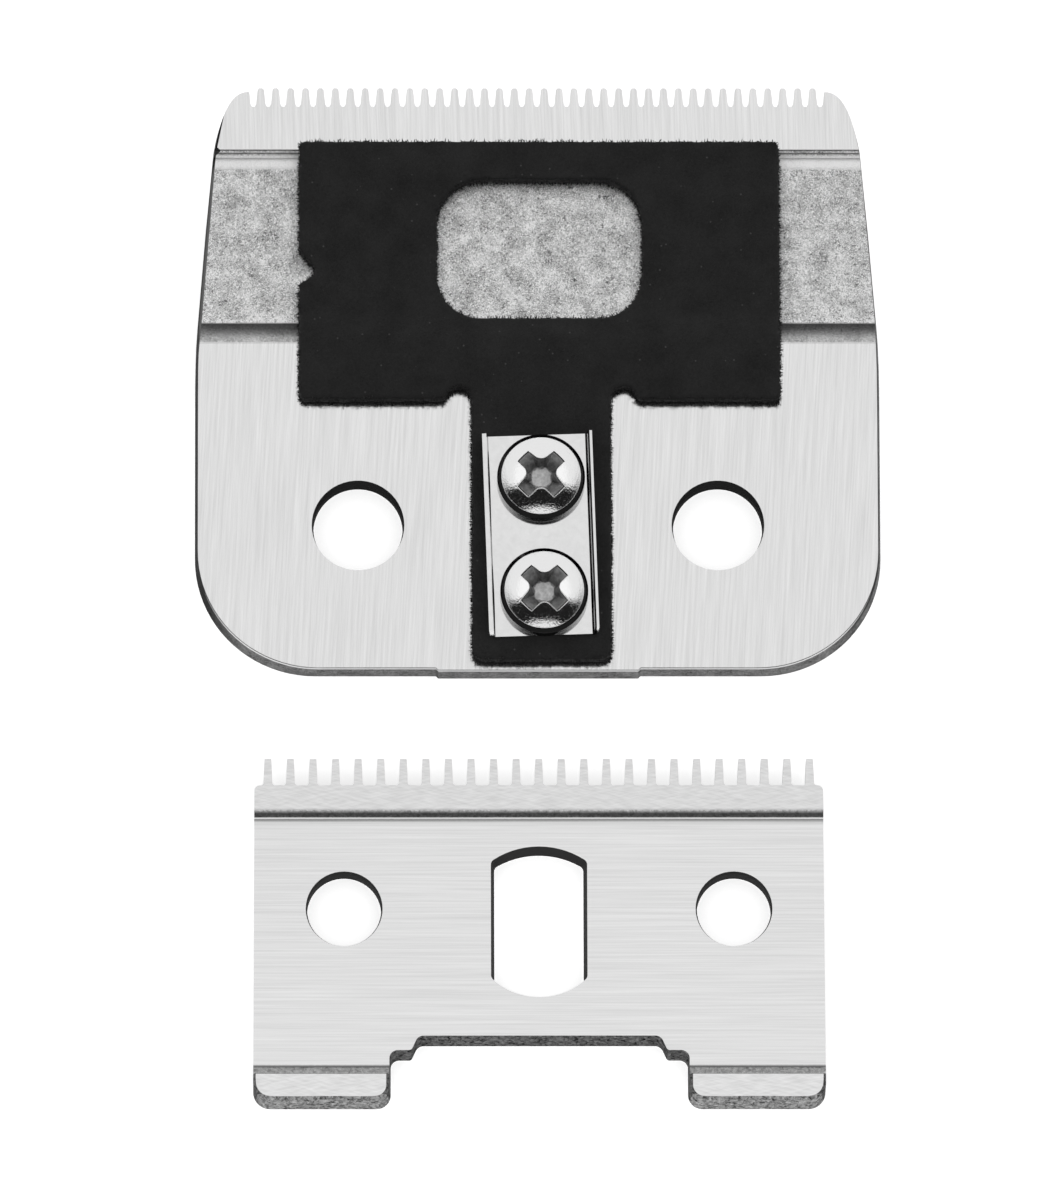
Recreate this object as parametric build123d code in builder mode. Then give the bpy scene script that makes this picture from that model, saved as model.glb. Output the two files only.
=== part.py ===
from build123d import *
import os

os.makedirs("parts", exist_ok=True)

# Layout: both halves lie flat, running faces up, teeth toward +Y
moving_setback = 49.15  # moving blade's tooth tips behind the fixed blade's
moving_length = 24.55
moving_spread = 0.25  # its rear edges spread this much toward the underside
tip_y = (moving_setback + moving_length + moving_spread) / 2
moving_tip_y = tip_y - moving_setback

# Fixed blade, lengths taken back from its tooth tips
blade_thick = 2.0
blade_half_width = 24.0
blade_length = 42.46
edge_spread = 0.14
side_spread = 0.22
rear_corner_radius = 8.5
rear_tab_half_width = 7.05
rear_tab_rise = 0.16
front_corner_setback = 0.28
end_tooth_land = 0.4
corner_curve_lead = 1.2
corner_curve_lift = 2.5
corner_curve_draw = 0.4
front_land_length = 4.52
front_half_width = 22.82
waist_back = 17.3
waist_half_width = 23.85
straight_back = 22.5
waist_pull = 1.6

# Fixed blade teeth
fixed_pitch = 25.4 / 24
fixed_gap_count = 39
fixed_gap_tip = 0.6
fixed_gap_root = 0.4
fixed_tooth_length = 1.376
fixed_tip_round = 0.12
fixed_tip_thick = 0.45
bevel_length = 10.0

# Recess that holds the oiled felt
recess_depth = 0.7
recess_wall_run = 0.12
recess_front_round = 0.7
recess_back = 17.1
ramp_run = 1.05
ramp_rise = 0.52
rear_land_start = 18.83
shoulder_round = 1.2

# Holes in the fixed blade
mount_spacing = 25.4
mount_back = 32.1
mount_radius = 3.15
mount_flare = 0.12
mount_flare_depth = 1.0

# Felt pad
pad_thick = 1.3
pad_shift = 0.15
pad_front = 4.02
pad_wall_gap = 0.1
bar_width = 33.95
bar_back = 23.15
bar_corner_radius = 0.4
window_width = 14.56
window_front = 6.84
window_back = 17.08
window_radius = 3.2
tail_shift = 0.25
tail_width = 9.76
tail_back = 42.15
tail_radius = 0.75
relief_radius = 0.95
index_start = 12.1
index_front = 13.3
index_back = 13.8
index_end = 14.55
index_depth = 1.08
index_radius = 0.3
drape_round = 1.5
drape_foot_lead = 0.4
drape_head_lead = 0.2

# Clamp plate, a shallow channel of thin sheet, set slightly askew
sheet = 0.3
plate_width = 7.76
plate_length = 14.6
plate_back = 33.24
plate_shift = 0.16
plate_turn = 1.9
flange_height = 1.2
flange_lean = 0.12
flange_end_cut = 0.7
flange_end_rise = 0.3
bend_radius = 0.25

# Clamp screws
screw_spots = ((0.2, 29.2), (0.4, 37.5))
shank_radius = 1.5
thread_gap = 0.03
plate_hole_gap = 0.25
pad_hole_gap = 0.1
head_radius = 3.1
head_side = 0.8
head_edge = 0.3
head_height = 2.0
cross_reach = 2.2
cross_half_width = 0.6
cross_floor_reach = 0.8
cross_floor_half_width = 0.36
cross_depth = 1.45
cross_lobe = 1.0  # rounding between the arms, as a share of their half width
tip_chamfer = 0.3

# Moving blade, lengths taken back from its tooth tips
moving_thick = 2.2
moving_front_half_width = 20.0
moving_rear_half_width = 20.08
moving_pitch = 25.4 / 16
moving_tooth_count = 25
moving_tooth_length = 1.91
moving_tooth_tip = 0.49
moving_tooth_root = 0.65
moving_root_round = 0.12
moving_tip_thick = 0.9
moving_bevel_length = 6.0
moving_corner_radius = 0.4
moving_land_back = 3.62
moving_wall_back = 3.8
moving_wall_drop = 0.08
moving_step_back = 4.08
moving_step = 0.45
feet_length = 2.45
feet_ramp_run = 0.65
feet_corner_radius = 1.2
feet_inner_radius = 1.0
feet_edge_chamfer = 0.2
pin_hole_spacing = 2 * 13.69
pin_hole_back = 10.75
pin_hole_radius = 2.6
pin_hole_flare = 0.1
pin_hole_flare_depth = 0.4
slot_width = 6.77
slot_front = 6.24
slot_back = 17.12
slot_front_radius = 5.8
slot_back_radius = 4.8
slot_corner_radius = 0.45
slot_taper = 0.25
notch_depth = 4.74
notch_step_depth = 3.7
notch_spread = 0.45
notch_half_width = 8.5
notch_step_half_width = 8.98
notch_mouth_half_width = 10.55
notch_round = 0.6
notch_step_round = 0.25

fixed_top = Plane(origin=(0, tip_y, blade_thick))
fixed_side = Plane(origin=(0, tip_y, 0), x_dir=(0, 1, 0), z_dir=(1, 0, 0))
moving_top = Plane(origin=(0, moving_tip_y, moving_thick))
moving_side = Plane(origin=(0, moving_tip_y, 0), x_dir=(0, 1, 0), z_dir=(1, 0, 0))
floor_z = blade_thick - recess_depth
reach = 60.0  # longer than any cut across the work
clear = 1.0  # cuts run this far past a face

with BuildPart() as fixed_blade:
    # The stamped outline spreads a little toward the underside
    for level, spread, draft in ((blade_thick, 0, 0), (0, edge_spread, side_spread)):
        with BuildSketch(Plane(origin=(0, tip_y, level))):
            with BuildLine():
                last_gap = fixed_pitch * (fixed_gap_count - 1) / 2
                corner_x = last_gap + end_tooth_land
                wide = blade_half_width + draft
                rear_y = -blade_length - spread
                front_end = (front_half_width + draft, -front_land_length)
                waist = (waist_half_width + draft, -waist_back)
                straight = (wide, -straight_back)
                corner_start = (wide, rear_y + rear_corner_radius)
                corner_end = (wide - rear_corner_radius, rear_y)
                slope = (waist_half_width - front_half_width) / (waist_back - front_land_length)
                Polyline(
                    (0, 0),
                    (last_gap, 0),
                    (last_gap, -front_corner_setback),
                    (corner_x, -front_corner_setback),
                )
                Bezier(
                    (corner_x, -front_corner_setback),
                    (corner_x + corner_curve_lead + spread, -front_corner_setback),
                    (front_half_width - corner_curve_draw + draft, -front_land_length + corner_curve_lift),
                    front_end,
                )
                Line(front_end, waist)
                Bezier(
                    waist,
                    (waist_half_width + draft + slope * waist_pull, -waist_back - waist_pull),
                    (wide, -straight_back + waist_pull),
                    straight,
                )
                Line(straight, corner_start)
                RadiusArc(corner_start, corner_end, rear_corner_radius)
                Polyline(
                    corner_end,
                    (rear_tab_half_width + rear_tab_rise, rear_y),
                    (rear_tab_half_width, rear_y - rear_tab_rise),
                    (0, rear_y - rear_tab_rise),
                )
                mirror(about=Plane.YZ)
            make_face()
    loft(ruled=True)

    # Channel across the blade for the felt, steep in front and ramped behind
    with BuildSketch(fixed_side) as recess:
        with BuildLine():
            Polyline(
                (-front_land_length, blade_thick + clear),
                (-front_land_length, blade_thick),
                (-front_land_length - recess_wall_run, floor_z),
                (-recess_back, floor_z),
                (-recess_back - ramp_run, floor_z + ramp_rise),
                (-rear_land_start, blade_thick),
                (-rear_land_start, blade_thick + clear),
                close=True,
            )
        make_face()
        low = recess.vertices().group_by(Axis.Y)[0]
        fillet(low.sort_by(Axis.X)[-1], recess_front_round)
        fillet(recess.vertices().group_by(Axis.Y)[1], shoulder_round)
    extrude(amount=reach, both=True, mode=Mode.SUBTRACT)

    # Underside bevel that thins the blade to its tooth tips
    with BuildSketch(fixed_side):
        with BuildLine():
            Polyline(
                (-bevel_length, -clear),
                (-bevel_length, 0),
                (0, blade_thick - fixed_tip_thick),
                (clear, blade_thick - fixed_tip_thick),
                (clear, -clear),
                close=True,
            )
        make_face()
    extrude(amount=reach, both=True, mode=Mode.SUBTRACT)

    # Tooth gaps with eased mouths and rounded roots
    with BuildSketch(fixed_top):
        with GridLocations(fixed_pitch, 1, fixed_gap_count, 1):
            with BuildSketch(mode=Mode.PRIVATE) as gap:
                with BuildLine():
                    mouth = fixed_gap_tip / 2
                    root = fixed_gap_root / 2
                    Polyline(
                        (0, clear),
                        (mouth + fixed_tip_round, clear),
                        (mouth + fixed_tip_round, 0),
                        (mouth, -fixed_tip_round),
                        (root, -fixed_tooth_length + root),
                        (root / 2, -fixed_tooth_length + root / 8),
                        (0, -fixed_tooth_length),
                    )
                    mirror(about=Plane.YZ)
                make_face()
            add(gap.sketch)
    extrude(amount=-blade_thick, mode=Mode.SUBTRACT)

    # Mounting holes, slightly flared at the upper rim
    with Locations(fixed_top):
        with Locations((0, -mount_back)):
            with GridLocations(mount_spacing, 1, 2, 1):
                Hole(mount_radius, blade_thick)
                Cone(
                    mount_radius,
                    mount_radius + mount_flare,
                    mount_flare_depth,
                    align=(Align.CENTER, Align.CENTER, Align.MAX),
                    mode=Mode.SUBTRACT,
                )
        with Locations(*((x, -back) for x, back in screw_spots)):
            Hole(shank_radius + thread_gap, blade_thick)

with BuildPart() as felt_pad:
    # Draped section: on the recess floor, up the ramp and along the rear land
    with BuildSketch(fixed_side) as drape:
        with BuildLine():
            wall_y = -front_land_length - recess_wall_run - recess_front_round
            Polyline(
                (wall_y, floor_z),
                (-recess_back, floor_z),
                (-recess_back - ramp_run, floor_z + ramp_rise),
                (-rear_land_start, blade_thick),
                (-tail_back, blade_thick),
                (-tail_back, blade_thick + pad_thick),
                (-rear_land_start + drape_head_lead, blade_thick + pad_thick),
                (-recess_back + drape_foot_lead, floor_z + pad_thick),
                (-pad_front, floor_z + pad_thick),
                (-pad_front, blade_thick),
                (-front_land_length - pad_wall_gap, blade_thick),
                close=True,
            )
        make_face()
        folds = drape.vertices().filter_by(lambda v: -rear_land_start < v.X < -recess_back + 1)
        fillet(folds.filter_by(lambda v: v.Y > floor_z + pad_thick - 0.01), drape_round)
    extrude(amount=reach, both=True)
    with BuildSketch(Plane(origin=(pad_shift, tip_y, 0))) as pad_plan:
        with BuildSketch(mode=Mode.PRIVATE) as bar:
            with Locations((0, -(pad_front + bar_back) / 2)):
                RectangleRounded(bar_width, bar_back - pad_front, bar_corner_radius)
        with BuildSketch(mode=Mode.PRIVATE) as tail:
            with Locations((tail_shift - pad_shift, -tail_back)):
                Rectangle(tail_width, tail_back - window_back, align=(Align.CENTER, Align.MIN))
            fillet(tail.vertices().group_by(Axis.Y)[0], tail_radius)
        add(bar.sketch)
        add(tail.sketch)
        with Locations((0, -(window_front + window_back) / 2)):
            RectangleRounded(window_width, window_back - window_front, window_radius, mode=Mode.SUBTRACT)
        with Locations((tail_shift - pad_shift, -bar_back)):
            with GridLocations(tail_width + 2 * relief_radius, 1, 2, 1):
                Circle(relief_radius, mode=Mode.SUBTRACT)
        with BuildSketch(mode=Mode.PRIVATE) as index:
            with BuildLine():
                edge = -bar_width / 2
                Polyline(
                    (edge, -index_start),
                    (edge + index_depth, -index_front),
                    (edge + index_depth, -index_back),
                    (edge, -index_end),
                    (edge - index_depth, -index_end),
                    (edge - index_depth, -index_start),
                    close=True,
                )
            make_face()
            fillet(index.vertices().sort_by(Axis.X)[-2:], index_radius)
        add(index.sketch, mode=Mode.SUBTRACT)
    extrude(amount=blade_thick + 2 * pad_thick, mode=Mode.INTERSECT)
    with Locations(*((x, tip_y - back, blade_thick + pad_thick) for x, back in screw_spots)):
        Hole(shank_radius + pad_hole_gap, pad_thick)

plate_spot = Plane(origin=(plate_shift, tip_y - plate_back, blade_thick + pad_thick))
plate_frame = plate_spot.rotated((0, 0, plate_turn))
plate_end = Plane(origin=plate_frame.origin, x_dir=plate_frame.x_dir, z_dir=plate_frame.y_dir * -1)
plate_flank = Plane(origin=plate_frame.origin, x_dir=plate_frame.y_dir, z_dir=plate_frame.x_dir)

with BuildPart() as clamp_plate:
    with BuildSketch(plate_end) as channel:
        with BuildLine() as fold:
            half = (plate_width - sheet) / 2
            FilletPolyline(
                (-half, flange_height),
                (-half + flange_lean, sheet / 2),
                (half - flange_lean, sheet / 2),
                (half, flange_height),
                radius=bend_radius,
            )
        trace(line_width=sheet)
    extrude(amount=plate_length / 2, both=True)
    with BuildSketch(plate_flank):
        with BuildLine():
            rear = -plate_length / 2
            Polyline(
                (rear, sheet + flange_end_rise),
                (rear + flange_end_cut, flange_height + clear),
                (rear - clear, flange_height + clear),
                (rear - clear, sheet + flange_end_rise),
                close=True,
            )
        make_face()
    extrude(amount=plate_width, both=True, mode=Mode.SUBTRACT)
    with Locations(*((x, tip_y - back, blade_thick + pad_thick + sheet) for x, back in screw_spots)):
        Hole(shank_radius + plate_hole_gap, sheet)

head_z = blade_thick + pad_thick + sheet

with BuildPart() as clamp_screws:
    for x, back in screw_spots:
        axis_y = tip_y - back
        with BuildSketch(Plane(origin=(x, axis_y, 0), x_dir=(1, 0, 0), z_dir=(0, -1, 0))):
            with BuildLine():
                rim = (head_radius, head_z + head_side)
                shoulder = (head_radius - head_edge, head_z + head_side + head_edge)
                crown = (0, head_z + head_height)
                Polyline(
                    crown,
                    (0, 0),
                    (shank_radius - tip_chamfer, 0),
                    (shank_radius, tip_chamfer),
                    (shank_radius, head_z),
                    (head_radius, head_z),
                    rim,
                    shoulder,
                )
                crown_rise = head_height - head_side - head_edge
                crown_reach = head_radius - head_edge
                RadiusArc(shoulder, crown, -(crown_reach**2 + crown_rise**2) / (2 * crown_rise))
            make_face()
        revolve(axis=Axis((x, axis_y, 0), (0, 0, 1)))
        # Cross recess with its arms on the diagonals, narrowing to a flat floor
        for depth, arm, half_width in (
            (0, cross_reach, cross_half_width),
            (cross_depth, cross_floor_reach, cross_floor_half_width),
        ):
            level = Plane(origin=(x, axis_y, head_z + head_height - depth))
            with BuildSketch(level.rotated((0, 0, 45))) as level_sketch:
                Rectangle(2 * arm, 2 * half_width)
                Rectangle(2 * half_width, 2 * arm)
                inner = level_sketch.vertices().sort_by_distance((0, 0))[:4]
                fillet(inner, half_width * cross_lobe)
        loft(mode=Mode.SUBTRACT)

with BuildPart() as moving_blade:
    # Body behind the tooth roots, with the stepped notch between its feet
    for level, spread, notch_drop in ((moving_thick, 0, 0), (0, moving_spread, notch_spread)):
        front_y = -moving_tooth_length
        rear_y = -moving_length - spread
        mouth_x = notch_mouth_half_width - spread / 2
        step_y = -moving_length + notch_step_depth - notch_drop
        floor_y = -moving_length + notch_depth - notch_drop
        corners = (
            (moving_front_half_width, front_y, moving_corner_radius),
            (moving_rear_half_width, rear_y, feet_corner_radius),
            (mouth_x, rear_y, feet_inner_radius),
            (mouth_x, step_y, notch_round),
            (notch_step_half_width, step_y, notch_step_round),
            (notch_half_width, floor_y, notch_round),
        )
        with BuildSketch(Plane(origin=(0, moving_tip_y, level))) as moving_plan:
            with BuildLine():
                Polyline((0, front_y), *((x, y) for x, y, radius in corners), (0, floor_y))
                mirror(about=Plane.YZ)
            make_face()
            for x, y, radius in corners:
                spots = moving_plan.vertices().filter_by(
                    lambda v: abs(abs(v.X) - x) < 0.01 and abs(v.Y - y) < 0.01
                )
                fillet(spots, radius)
    loft(ruled=True)

    with BuildSketch(moving_top):
        with GridLocations(moving_pitch, 1, moving_tooth_count, 1):
            with BuildSketch(mode=Mode.PRIVATE) as tooth:
                with BuildLine():
                    tip = moving_tooth_tip / 2
                    root = moving_tooth_root / 2
                    Polyline(
                        (0, 0),
                        (tip, 0),
                        (root, -moving_tooth_length + moving_root_round),
                        (root + moving_root_round, -moving_tooth_length),
                        (0, -moving_tooth_length - moving_root_round),
                    )
                    mirror(about=Plane.YZ)
                make_face()
            add(tooth.sketch)
    extrude(amount=-moving_thick)

    # Milled body below the front land and the two feet
    feet_start = moving_length - feet_length
    with BuildSketch(moving_side) as milled:
        with BuildLine():
            Polyline(
                (-moving_land_back, moving_thick + clear),
                (-moving_land_back, moving_thick),
                (-moving_wall_back, moving_thick - moving_wall_drop),
                (-moving_step_back, moving_thick - moving_step),
                (-feet_start, moving_thick - moving_step),
                (-feet_start - feet_ramp_run, moving_thick),
                (-feet_start - feet_ramp_run, moving_thick + clear),
                close=True,
            )
        make_face()
    extrude(amount=reach, both=True, mode=Mode.SUBTRACT)

    # Eased rims of the two feet
    feet = moving_blade.faces().filter_by(Plane.XY).group_by(Axis.Z)[-1].sort_by(Axis.Y)[:2]
    rims = feet.edges().filter_by(lambda e: e.center().Y < moving_tip_y - feet_start - feet_ramp_run - 0.05)
    chamfer(rims, feet_edge_chamfer)

    # Back bevel that thins the teeth
    with BuildSketch(moving_side):
        with BuildLine():
            Polyline(
                (-moving_bevel_length, -clear),
                (-moving_bevel_length, 0),
                (0, moving_thick - moving_tip_thick),
                (clear, moving_thick - moving_tip_thick),
                (clear, -clear),
                close=True,
            )
        make_face()
    extrude(amount=reach, both=True, mode=Mode.SUBTRACT)

    # Guide holes and the drive slot
    body_top = Plane(origin=(0, moving_tip_y, moving_thick - moving_step))
    with Locations(body_top):
        with Locations((0, -pin_hole_back)):
            with GridLocations(pin_hole_spacing, 1, 2, 1):
                Hole(pin_hole_radius, moving_thick)
                Cone(
                    pin_hole_radius,
                    pin_hole_radius + pin_hole_flare,
                    pin_hole_flare_depth,
                    align=(Align.CENTER, Align.CENTER, Align.MAX),
                    mode=Mode.SUBTRACT,
                )
    for level, inset in ((moving_thick - moving_step, 0), (0, slot_taper)):
        with BuildSketch(Plane(origin=(0, moving_tip_y, level))) as slot:
            with BuildLine():
                side = slot_width / 2 - inset
                far = -slot_front - inset
                near = -slot_back + inset
                far_side = far - slot_front_radius + (slot_front_radius**2 - side**2) ** 0.5
                near_side = near + slot_back_radius - (slot_back_radius**2 - side**2) ** 0.5
                Line((side, far_side), (side, near_side))
                ThreePointArc((side, near_side), (0, near), (-side, near_side))
                Line((-side, near_side), (-side, far_side))
                ThreePointArc((-side, far_side), (0, far), (side, far_side))
            make_face()
            fillet(slot.vertices(), slot_corner_radius)
    loft(ruled=True, mode=Mode.SUBTRACT)

for node, name in (
    (fixed_blade, "fixed_blade"),
    (felt_pad, "felt_pad"),
    (clamp_plate, "clamp_plate"),
    (clamp_screws, "clamp_screws"),
    (moving_blade, "moving_blade"),
):
    node.part.label = name
    export_step(node.part, "parts/" + name + ".step")
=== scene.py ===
import math
import random

import bmesh
import bpy
from mathutils import Matrix, Quaternion, Vector, noise


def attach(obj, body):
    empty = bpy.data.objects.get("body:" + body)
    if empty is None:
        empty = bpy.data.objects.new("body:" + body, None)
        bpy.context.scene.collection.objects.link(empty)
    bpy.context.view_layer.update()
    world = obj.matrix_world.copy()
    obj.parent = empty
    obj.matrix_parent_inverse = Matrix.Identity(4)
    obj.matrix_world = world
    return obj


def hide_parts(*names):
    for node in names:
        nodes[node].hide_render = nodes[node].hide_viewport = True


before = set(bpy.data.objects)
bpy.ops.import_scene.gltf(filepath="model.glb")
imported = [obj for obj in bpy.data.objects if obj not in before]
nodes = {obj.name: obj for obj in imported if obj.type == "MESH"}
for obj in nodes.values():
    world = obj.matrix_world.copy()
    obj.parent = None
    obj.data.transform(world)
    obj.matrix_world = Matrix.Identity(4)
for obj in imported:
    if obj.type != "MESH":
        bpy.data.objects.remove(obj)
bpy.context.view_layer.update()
print("frame loaded:", sorted(nodes))

# a Mix node's sockets share their names, so they are told by number
mixShare, valueA, valueB, toneA, toneB = 0, 2, 3, 6, 7
noiseMiddle = 0.5


def linear(hexCode):
    channels = [int(hexCode[i:i + 2], 16) / 255 for i in (1, 3, 5)]
    return tuple(c / 12.92 if c <= 0.04045 else ((c + 0.055) / 1.055) ** 2.4 for c in channels) + (1.0,)


# a key that names no property of the node is one of its sockets, and a linked node gives its output in use
def addNode(tree, kind, settings=None, links=None):
    node = tree.nodes.new("ShaderNode" + kind)
    for key, value in (settings or {}).items():
        if isinstance(key, str) and hasattr(node, key):
            setattr(node, key, value)
        else:
            node.inputs[key].default_value = value
    for key, source in (links or {}).items():
        if isinstance(source, bpy.types.Node):
            source = next(output for output in source.outputs if output.enabled)
        tree.links.new(source, node.inputs[key])
    return node


def startMaterial(name):
    material = bpy.data.materials.new(name)
    material.use_nodes = True
    tree = material.node_tree
    tree.nodes.clear()
    return material, tree


# tones along a blade, at distances behind its tooth tips
def fillRamp(ramp, stops, span):
    elements = ramp.color_ramp.elements
    elements.remove(elements[1])
    for index, (place, tone) in enumerate(stops):
        element = elements[0] if index == 0 else elements.new(place / span)
        element.position = place / span
        element.color = linear(tone)


def dress(piece, material):
    piece.data.materials.clear()
    piece.data.materials.append(material)


# tool steel, stamped, tumbled and then ground on its lands:
# long fine lines on the lands, a mottled matte skin in the recess, painted shade on the cut edges
fixedSteel = {
    "tipY": 0.036975,
    "span": 0.02,  # length that the zones cover
    "landHeight": {"From Min": 0.00195, "From Max": 0.00198},
    "landDark": "#d8d8d8",
    "landPale": "#eeeeee",
    "landGloss": 0.15,
    "lineSpacing": 0.00019,  # grinding lines, drawn coarser than the real grit so that they show
    "lineLength": 0.008,
    "lineTilts": (-3.2, 1.5),  # degrees, on the rear land and on the front one
    "lineRange": {"From Min": 0.28, "From Max": 0.72},
    "frontLand": 0.0325,
    "blotch": 0.0014,
    "blotchShare": 0.25,
    "grain": 0.00017,  # tumbling dents, coarsened to show
    "mottleRange": {"From Min": 0.45, "From Max": 0.76},
    "floorShade": {"To Min": 0.05, "To Max": 1.66},
    "calmRange": {"From Min": 0.4, "From Max": 0.9},
    "calmShade": {"To Min": 0.9, "To Max": 1.42},
    "rampCalm": 0.5,
    "recessGloss": 0.5,
    "relief": 0.00003,
    "reliefStrength": 0.3,
    "wallDark": "#262626",
    "wallPale": "#bcbcbc",
    "wallRange": {"From Min": 0.45, "From Max": 0.85},
    "wallFacing": {"From Min": 0.5, "From Max": 0.3},
    "underFacing": {"From Min": -0.3, "From Max": -0.6},
    "grazingShade": "#959595",  # painted shade: dims what the cut walls mirror
    "holeShadeTone": "#383838",
    "holeRow": 0.004875,
    "holeReach": 0.0042,
    "holeSpread": 0.019,
    "sideEdge": 0.0011,
    "sideFacing": {"From Min": 0.6, "From Max": 0.9},
    "sideShare": 0.85,
    "highlightLip": 0.0017,
    "lipHalf": 0.00012,
    "backFacing": {"From Min": -0.3, "From Max": -0.7},
    "edgeSlope": 0.0806,  # how the left edge leans beside the recess
    "edgeShadeLine": -0.02536,
    "edgeShadeTone": "#6e6e6e",
    "cornerSlope": 0.2,  # and how it leans beside the front land
    "cornerEdge": -0.029311,
    "cornerWidth": 0.00013,
    "cornerY": 0.0324,
    "cornerShadeTone": "#1e1e1e",
    "flare": 0.0004,
    "flareFall": -1.3,
    "stepFacing": {"From Min": -0.75, "From Max": -0.85},
    "burrMetal": 0.1,
    "waver": 0.004,
    # the rest lies at distances behind the tooth tips
    "step": (0.0043, 0.0049),
    "burr": (0.00456, 0.00495),
    "calmBand": (0.0048, 0.0058),
    "calmRamp": (0.0171, 0.0189),
    # step, its dark foot, a pale run-out, the floor, the ramp and its shoulder; the step's dark tones and its
    # foot are painted shadow, the ramp's dark tones a painted dark reflection
    "zones": (
        (0.00450, "#5a5a5a"), (0.00454, "#6a6a6a"), (0.00457, "#f0f0f0"), (0.00465, "#f0f0f0"),
        (0.00467, "#505050"), (0.00473, "#505050"), (0.00476, "#c8c8c8"), (0.00495, "#ececec"),
        (0.00508, "#f0f0f0"), (0.00552, "#f0f0f0"), (0.00578, "#d6d6d6"), (0.01000, "#d6d6d6"),
        (0.01660, "#dcdcdc"), (0.01690, "#f0f0f0"), (0.01708, "#f0f0f0"), (0.01713, "#474747"),
        (0.01760, "#5a5a5a"), (0.01800, "#8a8a8a"), (0.01840, "#b8b8b8"), (0.01884, "#c6c6c6"),
    ),
}


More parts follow.
